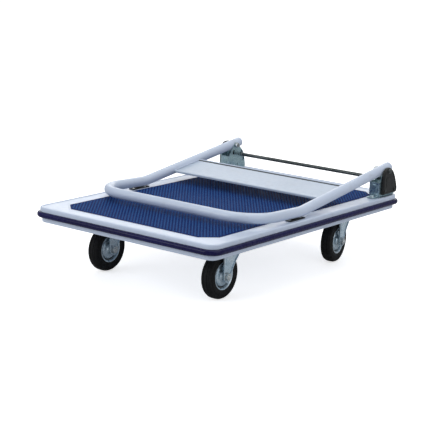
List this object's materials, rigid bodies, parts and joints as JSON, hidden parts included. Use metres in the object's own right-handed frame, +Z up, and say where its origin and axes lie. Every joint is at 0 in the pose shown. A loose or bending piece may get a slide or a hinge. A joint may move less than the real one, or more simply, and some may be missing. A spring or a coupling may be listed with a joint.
{
  "type": "platform trolley",
  "caption": "Four-wheel platform trolley with a wrap-round bumper, a ribbed mat and a tubular handle that folds flat over the deck; foot-operated lock bar.",
  "frame": {"origin": "on the floor under the middle of the deck", "axes": "+Z up, X across the deck, +Y towards the handle pivots; the folded handle points towards -Y"},
  "size_m": [0.61, 0.91, 0.2803],
  "materials": {
    "white_paint": "satin pale grey-white powder coat",
    "blue_mat": "matt studded vinyl mat",
    "navy_bumper": "semi-gloss vinyl bumper",
    "black_rubber": "matt rubber",
    "black_plastic": "fine grained moulded plastic",
    "nylon": "turned nylon",
    "tyre_rubber": "black solid rubber",
    "dark_steel": "dark plated steel",
    "ball_steel": "polished balls",
    "caster_zinc": "bright blue zinc plate on pressed steel",
    "bracket_zinc": "blue-grey zinc plate",
    "bright_zinc": "bright zinc fasteners"
  },
  "bodies": {
    "root": {"deck_sheet": "white_paint", "deck_mat": "blue_mat", "bumper_strip": "navy_bumper", "cross_channels": "white_paint", "long_channels": "white_paint", "handle_rest_pads": "black_rubber", "pad_rivets": "bright_zinc", "bracket_left": "bracket_zinc", "bracket_right": "bracket_zinc", "bracket_bolts": "bright_zinc", "bracket_nuts": "bright_zinc", "side_cover_left": "black_plastic", "side_cover_right": "black_plastic", "cover_screws": "dark_steel", "pivot_bolts": "dark_steel", "pivot_nuts": "bright_zinc", "latch_pins": "bracket_zinc", "latch_springs": "dark_steel", "rigid_fork_left": "caster_zinc", "rigid_fork_right": "caster_zinc", "swivel_plate_left": "caster_zinc", "swivel_plate_right": "caster_zinc", "kingpins": "bright_zinc", "kingpin_nuts": "bright_zinc", "caster_bolts": "bright_zinc", "caster_nuts": "bright_zinc", "axle_bolt_fl": "bright_zinc", "axle_nut_fl": "bright_zinc", "axle_bolt_fr": "bright_zinc", "axle_nut_fr": "bright_zinc"},
    "handle": {"handle_tube": "white_paint", "handle_cross_plate": "white_paint", "tube_end_plugs": "white_paint", "pivot_bushes": "nylon"},
    "foot_lock": {"lock_bar": "dark_steel", "latch_lever_left": "bracket_zinc", "latch_lever_right": "bracket_zinc", "lock_bar_clips": "dark_steel"},
    "swivel_left": {"swivel_fork_left": "caster_zinc", "race_balls_left": "ball_steel", "axle_bolt_rl": "bright_zinc", "axle_nut_rl": "bright_zinc"},
    "swivel_right": {"swivel_fork_right": "caster_zinc", "race_balls_right": "ball_steel", "axle_bolt_rr": "bright_zinc", "axle_nut_rr": "bright_zinc"},
    "wheel_fl": {"tyre_fl": "tyre_rubber", "rim_fl": "caster_zinc", "hub_bush_fl": "bright_zinc"},
    "wheel_fr": {"tyre_fr": "tyre_rubber", "rim_fr": "caster_zinc", "hub_bush_fr": "bright_zinc"},
    "wheel_rl": {"tyre_rl": "tyre_rubber", "rim_rl": "caster_zinc", "hub_bush_rl": "bright_zinc"},
    "wheel_rr": {"tyre_rr": "tyre_rubber", "rim_rr": "caster_zinc", "hub_bush_rr": "bright_zinc"}
  },
  "joints": [
    {"name": "handle_fold", "type": "hinge", "parent": "root", "child": "handle", "pos_m": [0, 0.386, 0.26147], "axis": [-1, 0, 0], "range_deg": [0, 98]},
    {"name": "lock_release", "type": "hinge", "parent": "root", "child": "foot_lock", "pos_m": [0, 0.366, 0.20097], "axis": [-1, 0, 0], "range_deg": [0, 12], "stiffness_Nm_per_rad": 6, "springref_deg": -28.65, "deforming": ["latch_springs"]},
    {"name": "swivel_left", "type": "hinge", "parent": "root", "child": "swivel_left", "pos_m": [-0.1925, 0.2904, 0.15], "axis": [0, 0, 1], "continuous": true},
    {"name": "swivel_right", "type": "hinge", "parent": "root", "child": "swivel_right", "pos_m": [0.1925, 0.2904, 0.15], "axis": [0, 0, 1], "continuous": true},
    {"name": "wheel_spin_fl", "type": "hinge", "parent": "root", "child": "wheel_fl", "pos_m": [-0.1925, -0.2767, 0.0625], "axis": [1, 0, 0], "continuous": true},
    {"name": "wheel_spin_fr", "type": "hinge", "parent": "root", "child": "wheel_fr", "pos_m": [0.1925, -0.2767, 0.0625], "axis": [1, 0, 0], "continuous": true},
    {"name": "wheel_spin_rl", "type": "hinge", "parent": "swivel_left", "child": "wheel_rl", "pos_m": [-0.19055, 0.26247, 0.0625], "axis": [0.9976, 0.0698, 0], "continuous": true},
    {"name": "wheel_spin_rr", "type": "hinge", "parent": "swivel_right", "child": "wheel_rr", "pos_m": [0.19676, 0.26273, 0.0625], "axis": [0.9884, 0.1521, 0], "continuous": true}
  ]
}
